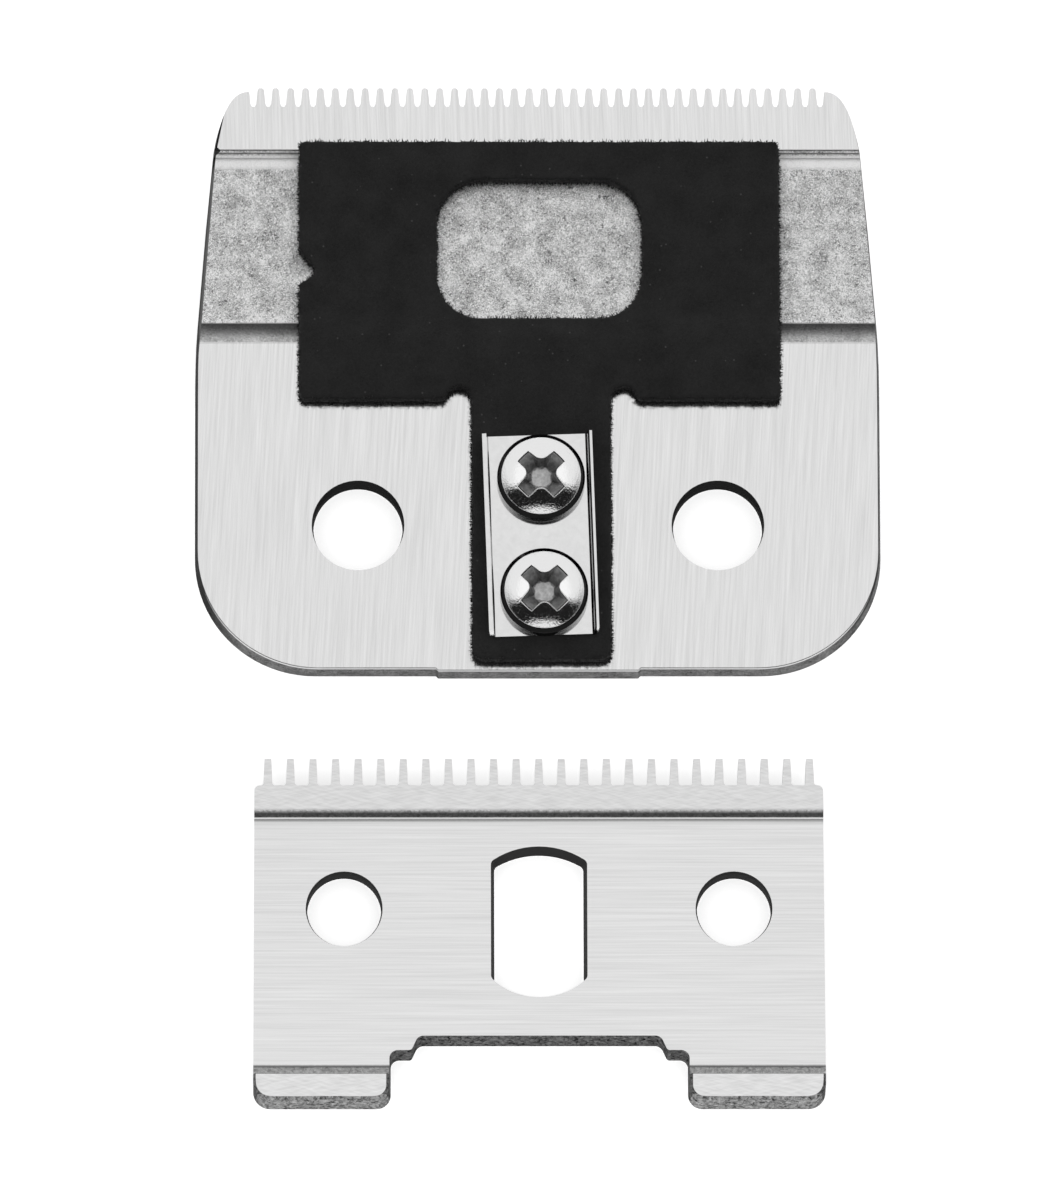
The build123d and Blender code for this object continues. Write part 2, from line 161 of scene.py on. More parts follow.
def makeFixedSteel(look):
    material, tree = startMaterial("groundToolSteel")
    coords = addNode(tree, "TexCoord").outputs["Object"]
    place = addNode(tree, "SeparateXYZ", links={0: coords}).outputs
    facing = addNode(tree, "NewGeometry").outputs["Normal"]
    slope = addNode(tree, "SeparateXYZ", links={0: facing}).outputs

    # surface grinding leaves long fine lines that run toward the teeth
    inFront = addNode(tree, "Math", {"operation": "GREATER_THAN", 1: look["frontLand"]}, {0: place["Y"]})
    lines = addNode(tree, "Mix", links={mixShare: inFront})
    for socket, tilt in zip((valueA, valueB), look["lineTilts"]):
        lying = {
            "vector_type": "TEXTURE",
            "Rotation": (0, 0, math.radians(tilt)),
            "Scale": (look["lineSpacing"], look["lineLength"], 1),
        }
        turned = addNode(tree, "Mapping", lying, {"Vector": coords})
        cut = addNode(tree, "TexNoise", {"Scale": 1.0, "Detail": 4.0, "Roughness": 0.65}, {"Vector": turned})
        tree.links.new(cut.outputs[0], lines.inputs[socket])
    landLevel = addNode(tree, "MapRange", look["lineRange"], {"Value": lines})
    landTones = {"data_type": "RGBA", toneA: linear(look["landDark"]), toneB: linear(look["landPale"])}
    landTone = addNode(tree, "Mix", landTones, {mixShare: landLevel})

    # the recess keeps the mottled skin of tumbling
    wide = {"Scale": 1 / look["blotch"], "Detail": 2.0, "Roughness": 0.6}
    blotch = addNode(tree, "TexNoise", wide, {"Vector": coords})
    fine = {"Scale": 1 / look["grain"], "Detail": 4.0, "Roughness": 0.7, "Distortion": 1.8}
    grain = addNode(tree, "TexNoise", fine, {"Vector": coords})
    blended = {"operation": "MULTIPLY_ADD", 1: look["blotchShare"]}
    mottle = addNode(tree, "Math", blended, {0: blotch, 2: grain})
    shade = addNode(tree, "MapRange", {**look["mottleRange"], **look["floorShade"]}, {"Value": mottle})
    tip, span = look["tipY"], look["span"]
    behind = addNode(tree, "MapRange", {"From Min": tip, "From Max": tip - span}, {"Value": place["Y"]})
    # the zones' borders waver as the skin does
    waver = addNode(tree, "Math", {"operation": "SUBTRACT", 1: noiseMiddle}, {0: grain})
    along = addNode(tree, "Math", {"operation": "MULTIPLY_ADD", 1: look["waver"]}, {0: waver, 2: behind})
    zone = addNode(tree, "ValToRGB", links={0: along})
    fillRamp(zone, look["zones"], span)
    # the run-out and the ramp are calmer than the floor
    bands = []
    for start, end in (look["burr"], look["calmBand"], look["calmRamp"], look["step"]):
        between = {"operation": "COMPARE", 1: (start + end) / 2 / span, 2: (end - start) / 2 / span}
        bands.append(addNode(tree, "Math", between, {0: behind}))
    burr, runOut, onRamp, nearStep = bands
    calm = addNode(tree, "Math", {"operation": "MULTIPLY_ADD", 1: look["rampCalm"]}, {0: onRamp, 2: runOut})
    calmShade = addNode(tree, "MapRange", {**look["calmRange"], **look["calmShade"]}, {"Value": mottle})
    shade = addNode(tree, "Mix", links={mixShare: calm, valueA: shade, valueB: calmShade})
    recessTone = addNode(tree, "VectorMath", {"operation": "SCALE"}, {0: zone, "Scale": shade})

    # painted shade: the cut edges are painted dark, mottled like their skin
    wallLevel = addNode(tree, "MapRange", look["wallRange"], {"Value": mottle})
    wallTones = {"data_type": "RGBA", toneA: linear(look["wallDark"]), toneB: linear(look["wallPale"])}
    wallTone = addNode(tree, "Mix", wallTones, {mixShare: wallLevel})

    # painted shade: the punched holes, the left side and the right one's upper edge are painted darkest
    aside = addNode(tree, "Math", {"operation": "ABSOLUTE"}, {0: place["X"]})
    rowBand = {"operation": "COMPARE", 1: look["holeRow"], 2: look["holeReach"]}
    inRow = addNode(tree, "Math", rowBand, {0: place["Y"]})
    inside = addNode(tree, "Math", {"operation": "LESS_THAN", 1: look["holeSpread"]}, {0: aside})
    inHole = addNode(tree, "Math", {"operation": "MULTIPLY"}, {0: inRow, 1: inside})
    sideways = addNode(tree, "Math", {"operation": "ABSOLUTE"}, {0: slope["X"]})
    sideRange = {**look["sideFacing"], "To Max": look["sideShare"]}
    onSide = addNode(tree, "MapRange", sideRange, {"Value": sideways})
    onLeft = addNode(tree, "Math", {"operation": "LESS_THAN", 1: 0.0}, {0: slope["X"]})
    onEdge = addNode(tree, "Math", {"operation": "GREATER_THAN", 1: look["sideEdge"]}, {0: place["Z"]})
    onEdge = addNode(tree, "Math", {"operation": "MAXIMUM"}, {0: onEdge, 1: onLeft})
    onSide = addNode(tree, "Math", {"operation": "MULTIPLY"}, {0: onSide, 1: onEdge})
    inHole = addNode(tree, "Math", {"operation": "MAXIMUM"}, {0: inHole, 1: onSide})
    wallTone = addNode(tree, "Mix", {"data_type": "RGBA", toneB: linear(look["holeShadeTone"])},
                       {mixShare: inHole, toneA: wallTone})

    # painted highlight: a pale lip is painted along the top of the rear edge
    onBack = addNode(tree, "MapRange", look["backFacing"], {"Value": slope["Y"]})
    isRear = addNode(tree, "Math", {"operation": "LESS_THAN", 1: 0.0}, {0: place["Y"]})
    highlightLip = addNode(tree, "Math", {"operation": "COMPARE", 1: look["highlightLip"], 2: look["lipHalf"]}, {0: place["Z"]})
    highlightLip = addNode(tree, "Math", {"operation": "MULTIPLY"}, {0: highlightLip, 1: isRear})
    highlightLip = addNode(tree, "Math", {"operation": "MULTIPLY"}, {0: highlightLip, 1: onBack})
    wallTone = addNode(tree, "Mix", {"data_type": "RGBA", toneB: linear(look["landPale"])},
                       {mixShare: highlightLip, toneA: wallTone})

    onLand = addNode(tree, "MapRange", look["landHeight"], {"Value": place["Z"]})
    underside = addNode(tree, "MapRange", look["underFacing"], {"Value": slope["Z"]})
    ground = addNode(tree, "Math", {"operation": "MAXIMUM"}, {0: onLand, 1: underside})
    steep = addNode(tree, "Math", {"operation": "ABSOLUTE"}, {0: slope["Z"]})
    onWall = addNode(tree, "MapRange", look["wallFacing"], {"Value": steep})
    # the recess step is lapped clean, so only walls outside it take the painted wall shade
    clean = {**look["stepFacing"], "To Min": 1.0, "To Max": 0.0}
    stepFace = addNode(tree, "MapRange", clean, {"Value": slope["Y"]})
    keepWall = addNode(tree, "Mix", {valueA: 1.0}, {mixShare: nearStep, valueB: stepFace})
    onWall = addNode(tree, "Math", {"operation": "MULTIPLY"}, {0: onWall, 1: keepWall})
    tone = addNode(tree, "Mix", {"data_type": "RGBA"}, {mixShare: ground, toneA: recessTone, toneB: landTone})

    # painted shade: a dark line is painted beside the recess along the left edge
    leaning = {"operation": "MULTIPLY_ADD", 1: -look["edgeSlope"]}
    acrossEdge = addNode(tree, "Math", leaning, {0: place["Y"], 2: place["X"]})
    edgeShade = addNode(tree, "Math", {"operation": "LESS_THAN", 1: look["edgeShadeLine"]}, {0: acrossEdge})
    tone = addNode(tree, "Mix", {"data_type": "RGBA", toneB: linear(look["edgeShadeTone"])},
                   {mixShare: edgeShade, toneA: tone})
    # the painted shade goes on beside the front land and flares where that ends
    fromCorner = addNode(tree, "Math", {"operation": "SUBTRACT", 1: look["cornerY"]}, {0: place["Y"]})
    fromCorner = addNode(tree, "Math", {"operation": "ABSOLUTE"}, {0: fromCorner})
    falling = {"operation": "MULTIPLY_ADD", 1: look["flareFall"], 2: look["flare"]}
    reach = addNode(tree, "Math", falling, {0: fromCorner})
    reach = addNode(tree, "Math", {"operation": "MAXIMUM", 1: look["cornerWidth"]}, {0: reach})
    border = addNode(tree, "Math", {"operation": "ADD", 1: look["cornerEdge"]}, {0: reach})
    leaning = {"operation": "MULTIPLY_ADD", 1: -look["cornerSlope"]}
    acrossCorner = addNode(tree, "Math", leaning, {0: place["Y"], 2: place["X"]})
    inCorner = addNode(tree, "Math", {"operation": "LESS_THAN"}, {0: acrossCorner, 1: border})
    tone = addNode(tree, "Mix", {"data_type": "RGBA", toneB: linear(look["cornerShadeTone"])},
                   {mixShare: inCorner, toneA: tone})
    tone = addNode(tree, "Mix", {"data_type": "RGBA"}, {mixShare: onWall, toneA: tone, toneB: wallTone})

    gloss = addNode(tree, "Mix", {valueA: look["recessGloss"], valueB: look["landGloss"]}, {mixShare: ground})
    relief = addNode(tree, "Mix", links={mixShare: ground, valueA: mottle, valueB: lines})
    depth = {"Strength": look["reliefStrength"], "Distance": look["relief"]}
    bump = addNode(tree, "Bump", depth, {"Height": relief})
    # the burr along the step scatters light
    metal = addNode(tree, "MapRange", {"To Min": 1.0, "To Max": look["burrMetal"]}, {"Value": burr})
    # painted shade: the Specular Tint dims what the cut walls mirror
    glintShades = {"data_type": "RGBA", toneA: linear("#ffffff"), toneB: linear(look["grazingShade"])}
    glintShade = addNode(tree, "Mix", glintShades, {mixShare: onWall})
    finish = {"Base Color": tone, "Metallic": metal, "Roughness": gloss, "Normal": bump}
    shader = addNode(tree, "BsdfPrincipled", links={"Specular Tint": glintShade, **finish})
    addNode(tree, "OutputMaterial", links={"Surface": shader})
    return material


dress(nodes["fixed_blade"], makeFixedSteel(fixedSteel))
print("fixed blade dressed")

# tool steel, milled across its body and lapped on its lands:
# streaks from side to side, short crossed scratches on the lands, torn skin with painted shade on the cut
# walls
movingSteel = {
    "tipY": -0.012175,
    "span": 0.025,
    "landHeight": {"From Min": 0.00215, "From Max": 0.00218},
    "landDark": "#d8d8d8",
    "landPale": "#eeeeee",
    "scratchSpacing": 0.00016,  # lapping scratches, coarsened to show
    "scratchLength": 0.0013,
    "scratchTilts": (11, -15),  # degrees
    "scratchRange": {"From Min": 0.65, "From Max": 1.35},
    "footLift": 1.06,
    "streakSpacing": 0.00015,  # cutter marks across the body, coarsened to show
    "streakLength": 0.013,
    "streakRange": {"From Min": 0.25, "From Max": 0.75},
    "streakShade": {"To Min": 0.84, "To Max": 1.07},
    "gloss": 0.3,
    "relief": 0.00003,
    "reliefStrength": 0.25,
    "wallDark": "#262626",
    "wallPale": "#929292",
    "wallGloss": 0.5,
    "wallFacing": {"From Min": 0.66, "From Max": 0.62},
    "endDark": "#404040",
    "endPale": "#d8d8d8",
    "grazingShade": "#959595",
    "holeShadeTone": "#3a3a3a",
    "holeSpread": 0.0185,
    "grain": 0.0003,
    "grainRange": {"From Min": 0.36, "From Max": 0.68},
    "tornShade": {"To Min": 0.55, "To Max": 1.4},
    "tornGloss": 0.95,
    "tornMetal": 0.1,
    "rimFacing": 0.707,
    "rimSpread": 0.12,
    "waver": 0.002,
    # the rest lies at distances behind the tooth tips
    "holeRow": (0.0055, 0.0176),
    "edgeRow": (0.00361, 0.00412),
    "rampRow": (0.02216, 0.02268),
    "rimStart": 0.0227,
    "endStart": 0.0242,
    # run-out of the step, its groove, the body, and the foot's ramp; the groove is painted shadow at the
    # step's corner with a painted highlight after it, and the ramp's dark start is painted shade
    "zones": (
        (0.00360, "#707070"), (0.00364, "#7c7c7c"), (0.00367, "#d8d8d8"), (0.00379, "#d0d0d0"),
        (0.00383, "#525252"), (0.00412, "#585858"), (0.00416, "#fafafa"), (0.00424, "#f4f4f4"),
        (0.00428, "#7a7a7a"), (0.00437, "#848484"), (0.00442, "#dedede"), (0.00480, "#eeeeee"),
        (0.02205, "#f0f0f0"), (0.02208, "#4c4c4c"), (0.02216, "#545454"), (0.02220, "#a8a8a8"),
        (0.02266, "#b4b4b4"), (0.02271, "#f0f0f0"),
    ),
}


def makeMovingSteel(look):
    material, tree = startMaterial("milledToolSteel")
    coords = addNode(tree, "TexCoord").outputs["Object"]
    place = addNode(tree, "SeparateXYZ", links={0: coords}).outputs
    facing = addNode(tree, "NewGeometry").outputs["Normal"]
    slope = addNode(tree, "SeparateXYZ", links={0: facing}).outputs

    # milling leaves streaks from side to side
    lying = {"Scale": (1 / look["streakLength"], 1 / look["streakSpacing"], 0)}
    across = addNode(tree, "Mapping", lying, {"Vector": coords})
    streaks = addNode(tree, "TexNoise", {"Scale": 1.0, "Detail": 4.0, "Roughness": 0.65}, {"Vector": across})
    shading = {**look["streakRange"], **look["streakShade"]}
    streakShade = addNode(tree, "MapRange", shading, {"Value": streaks})

    # lapping leaves short scratches that cross each other
    crossing = []
    for tilt in look["scratchTilts"]:
        lying = {
            "vector_type": "TEXTURE",
            "Rotation": (0, 0, math.radians(tilt)),
            "Scale": (look["scratchLength"], look["scratchSpacing"], 1),
        }
        turned = addNode(tree, "Mapping", lying, {"Vector": coords})
        crossing.append(addNode(tree, "TexNoise", {"Scale": 1.0, "Detail": 2.0}, {"Vector": turned}))
    scratches = addNode(tree, "Math", {"operation": "ADD"}, {0: crossing[0], 1: crossing[1]})
    landLevel = addNode(tree, "MapRange", look["scratchRange"], {"Value": scratches})
    landTones = {"data_type": "RGBA", toneA: linear(look["landDark"]), toneB: linear(look["landPale"])}
    landTone = addNode(tree, "Mix", landTones, {mixShare: landLevel})

    # painted shade on the cut walls: the feet's ends are painted lighter than the notch, and the punched
    # holes darkest
    rough = {"Scale": 1 / look["grain"], "Detail": 4.0, "Roughness": 0.7, "Distortion": 0.8}
    grain = addNode(tree, "TexNoise", rough, {"Vector": coords})
    wallLevel = addNode(tree, "MapRange", look["grainRange"], {"Value": grain})
    wallTones = {"data_type": "RGBA", toneA: linear(look["wallDark"]), toneB: linear(look["wallPale"])}
    wallTone = addNode(tree, "Mix", wallTones, {mixShare: wallLevel})
    endTones = {"data_type": "RGBA", toneA: linear(look["endDark"]), toneB: linear(look["endPale"])}
    endTone = addNode(tree, "Mix", endTones, {mixShare: wallLevel})
    tip, span = look["tipY"], look["span"]
    behind = addNode(tree, "MapRange", {"From Min": tip, "From Max": tip - span}, {"Value": place["Y"]})
    atEnd = addNode(tree, "Math", {"operation": "GREATER_THAN", 1: look["endStart"] / span}, {0: behind})
    bands = []
    for start, end in (look["holeRow"], look["edgeRow"], look["rampRow"]):
        between = {"operation": "COMPARE", 1: (start + end) / 2 / span, 2: (end - start) / 2 / span}
        bands.append(addNode(tree, "Math", between, {0: behind}))
    inHole, onEdge, onRamp = bands
    aside = addNode(tree, "Math", {"operation": "ABSOLUTE"}, {0: place["X"]})
    inside = addNode(tree, "Math", {"operation": "LESS_THAN", 1: look["holeSpread"]}, {0: aside})
    inHole = addNode(tree, "Math", {"operation": "MULTIPLY"}, {0: inHole, 1: inside})
    wallTone = addNode(tree, "Mix", {"data_type": "RGBA"}, {mixShare: atEnd, toneA: wallTone, toneB: endTone})
    wallTone = addNode(tree, "Mix", {"data_type": "RGBA", toneB: linear(look["holeShadeTone"])},
                       {mixShare: inHole, toneA: wallTone})

    waver = addNode(tree, "Math", {"operation": "SUBTRACT", 1: noiseMiddle}, {0: grain})
    along = addNode(tree, "Math", {"operation": "MULTIPLY_ADD", 1: look["waver"]}, {0: waver, 2: behind})
    zone = addNode(tree, "ValToRGB", links={0: along})
    fillRamp(zone, look["zones"], span)
    # the step and the feet's ramps are torn, so they are speckled
    torn = addNode(tree, "Math", {"operation": "MAXIMUM"}, {0: onEdge, 1: onRamp})
    speckle = addNode(tree, "MapRange", {**look["grainRange"], **look["tornShade"]}, {"Value": grain})
    bodyShade = addNode(tree, "Mix", links={mixShare: torn, valueA: streakShade, valueB: speckle})
    bodyTone = addNode(tree, "VectorMath", {"operation": "SCALE"}, {0: zone, "Scale": bodyShade})

    onLand = addNode(tree, "MapRange", look["landHeight"], {"Value": place["Z"]})
    steep = addNode(tree, "Math", {"operation": "ABSOLUTE"}, {0: slope["Z"]})
    onWall = addNode(tree, "MapRange", look["wallFacing"], {"Value": steep})
    onWall = addNode(tree, "Math", {"operation": "SUBTRACT", "use_clamp": True}, {0: onWall, 1: onEdge})
    # the feet's eased rims are as torn as the walls and take their painted shade
    rimBand = {"operation": "COMPARE", 1: look["rimFacing"], 2: look["rimSpread"]}
    eased = addNode(tree, "Math", rimBand, {0: slope["Z"]})
    onFoot = addNode(tree, "Math", {"operation": "GREATER_THAN", 1: look["rimStart"] / span}, {0: behind})
    onRim = addNode(tree, "Math", {"operation": "MULTIPLY"}, {0: eased, 1: onFoot})
    onWall = addNode(tree, "Math", {"operation": "MAXIMUM"}, {0: onWall, 1: onRim})
    # the feet's lands are a little brighter
    lapped = addNode(tree, "MapRange", {"To Min": 1.0, "To Max": look["footLift"]}, {"Value": onFoot})
    landTone = addNode(tree, "VectorMath", {"operation": "SCALE"}, {0: landTone, "Scale": lapped})
    tone = addNode(tree, "Mix", {"data_type": "RGBA"}, {mixShare: onLand, toneA: bodyTone, toneB: landTone})
    tone = addNode(tree, "Mix", {"data_type": "RGBA"}, {mixShare: onWall, toneA: tone, toneB: wallTone})
    relief = addNode(tree, "Mix", links={mixShare: onLand, valueA: streaks, valueB: scratches})
    relief = addNode(tree, "Mix", links={mixShare: onWall, valueA: relief, valueB: grain})

    # the rims, the step and the punched walls scatter light
    scatter = addNode(tree, "Math", {"operation": "MAXIMUM"}, {0: onRim, 1: onEdge})
    holeWall = addNode(tree, "Math", {"operation": "MULTIPLY"}, {0: inHole, 1: onWall})
    scatter = addNode(tree, "Math", {"operation": "MAXIMUM"}, {0: scatter, 1: holeWall})
    gloss = addNode(tree, "Mix", {valueA: look["gloss"], valueB: look["wallGloss"]}, {mixShare: onWall})
    gloss = addNode(tree, "Mix", {valueB: look["tornGloss"]}, {mixShare: scatter, valueA: gloss})
    metal = addNode(tree, "MapRange", {"To Min": 1.0, "To Max": look["tornMetal"]}, {"Value": scatter})
    depth = {"Strength": look["reliefStrength"], "Distance": look["relief"]}
    bump = addNode(tree, "Bump", depth, {"Height": relief})
    # painted shade: the Specular Tint dims what the cut walls mirror
    glintShades = {"data_type": "RGBA", toneA: linear("#ffffff"), toneB: linear(look["grazingShade"])}
    glintShade = addNode(tree, "Mix", glintShades, {mixShare: onWall})
    finish = {"Base Color": tone, "Metallic": metal, "Roughness": gloss, "Normal": bump}
    shader = addNode(tree, "BsdfPrincipled", links={"Specular Tint": glintShade, **finish})
    addNode(tree, "OutputMaterial", links={"Surface": shader})
    return material


dress(nodes["moving_blade"], makeMovingSteel(movingSteel))
print("moving blade dressed")

# bright cold-rolled steel sheet, folded: nearly a mirror, with a slight wave and faint rubs
brightSheet = {
    "dark": "#dadada",
    "pale": "#ececec",
    "foldReflectionTone": "#161616",
    "centre": (0.00016, 0.003735, 0),
    "turn": 1.9,  # degrees
    "fold": (0.0034, 0.0037),
    "gloss": {"To Min": 0.07, "To Max": 0.17},
    "wave": 0.004,
    "waveDepth": 0.0001,
    "waveStrength": 0.1,
    "rub": 0.0005,
}


def makeBrightSheet(look):
    material, tree = startMaterial("brightRolledSteel")
    coords = addNode(tree, "TexCoord").outputs["Object"]
    wave = addNode(tree, "TexNoise", {"Scale": 1 / look["wave"], "Detail": 2.0}, {"Vector": coords})
    rubbed = {"Scale": 1 / look["rub"], "Detail": 3.0, "Distortion": 0.5}
    rubs = addNode(tree, "TexNoise", rubbed, {"Vector": coords})
    tones = {"data_type": "RGBA", toneA: linear(look["dark"]), toneB: linear(look["pale"])}
    tone = addNode(tree, "Mix", tones, {mixShare: rubs})
    # painted reflection: one fold is painted dark where it mirrors the black felt
    lying = {
        "vector_type": "TEXTURE",
        "Location": look["centre"],
        "Rotation": (0, 0, math.radians(look["turn"])),
    }
    own = addNode(tree, "Mapping", lying, {"Vector": coords})
    side = addNode(tree, "SeparateXYZ", links={0: own}).outputs
    start, end = look["fold"]
    foldBand = {"operation": "COMPARE", 1: (start + end) / 2, 2: (end - start) / 2}
    fold = addNode(tree, "Math", foldBand, {0: side["X"]})
    tone = addNode(tree, "Mix", {"data_type": "RGBA", toneB: linear(look["foldReflectionTone"])},
                   {mixShare: fold, toneA: tone})
    depth = {"Strength": look["waveStrength"], "Distance": look["waveDepth"]}
    bump = addNode(tree, "Bump", depth, {"Height": wave})
    gloss = addNode(tree, "MapRange", look["gloss"], {"Value": rubs})
    finish = {"Base Color": tone, "Roughness": gloss, "Normal": bump}
    shader = addNode(tree, "BsdfPrincipled", {"Metallic": 1.0}, finish)
    addNode(tree, "OutputMaterial", links={"Surface": shader})
    return material


dress(nodes["clamp_plate"], makeBrightSheet(brightSheet))

# nickel-plated steel, headed cold and plated: a mirror dome with tiny pits, and a matte grey struck recess
nickel = {
    "tone": "#fdfdfd",
    "recessDark": "#b4b4b4",
    "recessPale": "#ececec",
    "recessGloss": 0.5,
    "recessReach": 0.0024,
    "recessDepth": (0.00008, 0.00014),  # below the dome
    "ringShadeTone": "#262626",
    "ringFacing": {"From Min": 0.83, "From Max": 0.8},
    "ringLean": 0.12,
    "rimRound": 0.00014,
    "gloss": {"To Min": 0.06, "To Max": 0.26},
    "pit": 0.00013,
    "pitRange": {"From Min": 0.5, "From Max": 0.75},
    "pitDepth": 0.00003,
    "pitStrength": 0.4,
    "strike": 0.0004,
    "strikeRange": {"From Min": 0.3, "From Max": 0.7},
    "strikeWaver": 0.25,
    "domeRadius": 0.0048056,
    "domeCentres": ((0.0002, 0.007775, 0.000794), (0.0004, -0.000525, 0.000794)),
    # tones of the recess, outward from the screw's axis
    "flutes": (
        (0.0, "#fafafa"), (0.00068, "#f4f4f4"), (0.00076, "#9a9a9a"),
        (0.0010, "#b4b4b4"), (0.0013, "#d4d4d4"), (0.0022, "#ffffff"),
    ),
}


def makeNickel(look):
    material, tree = startMaterial("nickelPlatedSteel")
    coords = addNode(tree, "TexCoord").outputs["Object"]
    flat = addNode(tree, "VectorMath", {"operation": "MULTIPLY", 1: (1, 1, 0)}, {0: coords})
    # inside the dome's sphere and near a screw's axis is the recess
    fromCentre = []
    fromAxis = []
    for x, y, z in look["domeCentres"]:
        fromCentre.append(addNode(tree, "VectorMath", {"operation": "DISTANCE", 1: (x, y, z)}, {0: coords}))
        fromAxis.append(addNode(tree, "VectorMath", {"operation": "DISTANCE", 1: (x, y, 0)}, {0: flat}))
    height = addNode(tree, "Math", {"operation": "MINIMUM"}, {0: fromCentre[0], 1: fromCentre[1]})
    offset = addNode(tree, "Math", {"operation": "MINIMUM"}, {0: fromAxis[0], 1: fromAxis[1]})
    shallow, deep = (look["domeRadius"] - depth for depth in look["recessDepth"])
    below = addNode(tree, "MapRange", {"From Min": shallow, "From Max": deep}, {"Value": height})
    within = addNode(tree, "Math", {"operation": "LESS_THAN", 1: look["recessReach"]}, {0: offset})
    struck = addNode(tree, "Math", {"operation": "MULTIPLY"}, {0: below, 1: within})

    pits = addNode(tree, "TexNoise", {"Scale": 1 / look["pit"], "Detail": 3.0}, {"Vector": coords})
    dented = {"Scale": 1 / look["strike"], "Detail": 3.0, "Roughness": 0.6}
    strike = addNode(tree, "TexNoise", dented, {"Vector": coords})
    strikeLevel = addNode(tree, "MapRange", look["strikeRange"], {"Value": strike})
    recessTones = {"data_type": "RGBA", toneA: linear(look["recessDark"]), toneB: linear(look["recessPale"])}
    recessTone = addNode(tree, "Mix", recessTones, {mixShare: strikeLevel})
    # painted shade: the struck floor is pale and the flutes are painted darker toward it
    outward = addNode(tree, "MapRange", {"From Max": look["recessReach"]}, {"Value": offset})
    wavering = {"operation": "MULTIPLY_ADD", 1: look["strikeWaver"]}
    outward = addNode(tree, "Math", wavering, {0: strike, 2: outward})
    centred = {"operation": "SUBTRACT", 1: look["strikeWaver"] * noiseMiddle}
    outward = addNode(tree, "Math", centred, {0: outward})
    flute = addNode(tree, "ValToRGB", links={0: outward})
    fillRamp(flute, look["flutes"], look["recessReach"])
    darker = {"data_type": "RGBA", "blend_type": "MULTIPLY", mixShare: 1.0}
    recessTone = addNode(tree, "Mix", darker, {toneA: recessTone, toneB: flute})
    tone = addNode(tree, "Mix", {"data_type": "RGBA", toneA: linear(look["tone"])},
                   {mixShare: struck, toneB: recessTone})
    # painted shade and reflection: the head's eased rim and side are painted dark
    facing = addNode(tree, "NewGeometry").outputs["Normal"]
    slope = addNode(tree, "SeparateXYZ", links={0: facing}).outputs
    lean = addNode(tree, "Math", {"operation": "MULTIPLY"}, {0: slope["Y"], 1: slope["Y"]})
    lean = addNode(tree, "Math", {"operation": "MULTIPLY_ADD", 1: look["ringLean"]}, {0: lean, 2: slope["Z"]})
    ringShade = addNode(tree, "MapRange", look["ringFacing"], {"Value": lean})
    plain = addNode(tree, "Math", {"operation": "SUBTRACT", 0: 1.0}, {1: struck})
    ringShade = addNode(tree, "Math", {"operation": "MULTIPLY"}, {0: ringShade, 1: plain})
    tone = addNode(tree, "Mix", {"data_type": "RGBA", toneB: linear(look["ringShadeTone"])},
                   {mixShare: ringShade, toneA: tone})
    polish = addNode(tree, "MapRange", {**look["pitRange"], **look["gloss"]}, {"Value": pits})
    gloss = addNode(tree, "Mix", {valueB: look["recessGloss"]}, {mixShare: struck, valueA: polish})
    # plating rounds the recess rims, which catch a thin light line
    rim = addNode(tree, "Bevel", {"Radius": look["rimRound"]})
    depth = {"Strength": look["pitStrength"], "Distance": look["pitDepth"]}
    bump = addNode(tree, "Bump", depth, {"Height": pits, "Normal": rim})
    finish = {"Base Color": tone, "Roughness": gloss, "Normal": bump}
    shader = addNode(tree, "BsdfPrincipled", {"Metallic": 1.0}, finish)
    addNode(tree, "OutputMaterial", links={"Surface": shader})
    return material


dress(nodes["clamp_screws"], makeNickel(nickel))
print("clamp plate and screws dressed")

# wool felt, pressed and dyed black: matte, with a fine tangle and a few pale flecks
felt = {
    "tone": "#141414",
    "paleTone": "#292929",
    "wallTone": "#070707",
    "cutFacing": {"From Min": 0.7, "From Max": 0.3},
    "fleck": "#484848",
    "fleckSpacing": 0.0009,
    "fleckReach": {"From Min": 0.09, "From Max": 0.05},
    "fleckShare": 0.7,
    "fibre": 0.00016,
    "cloud": 0.0022,
    "cloudShare": 0.5,
    "tangleRange": {"From Min": 0.5, "From Max": 1.0},
    "tangleDepth": 0.00008,
    "tangleStrength": 0.5,
    "mergeReach": 0.000001,
    "voxel": 0.0002,
    "smoothRounds": 1,
    "surfaceLift": 0.00003,
    "edgeLift": 0.0001,
    "edgeGrain": 0.0004,
    "edgeSharpness": 1.2,
    "hairSeed": 7,
    "hairCount": 5200,
    "hairLength": (0.00012, 0.00032),
    "hairRadius": 0.000045,
    "hairTip": 0.4,  # share of the radius that is left there
    "hairOut": 0.3,  # share of the length from the felt to the hair's middle
    "hairFacing": 0.75,
    "flat": (0.03395, 0.03813),
    "area": 0.000663,
}


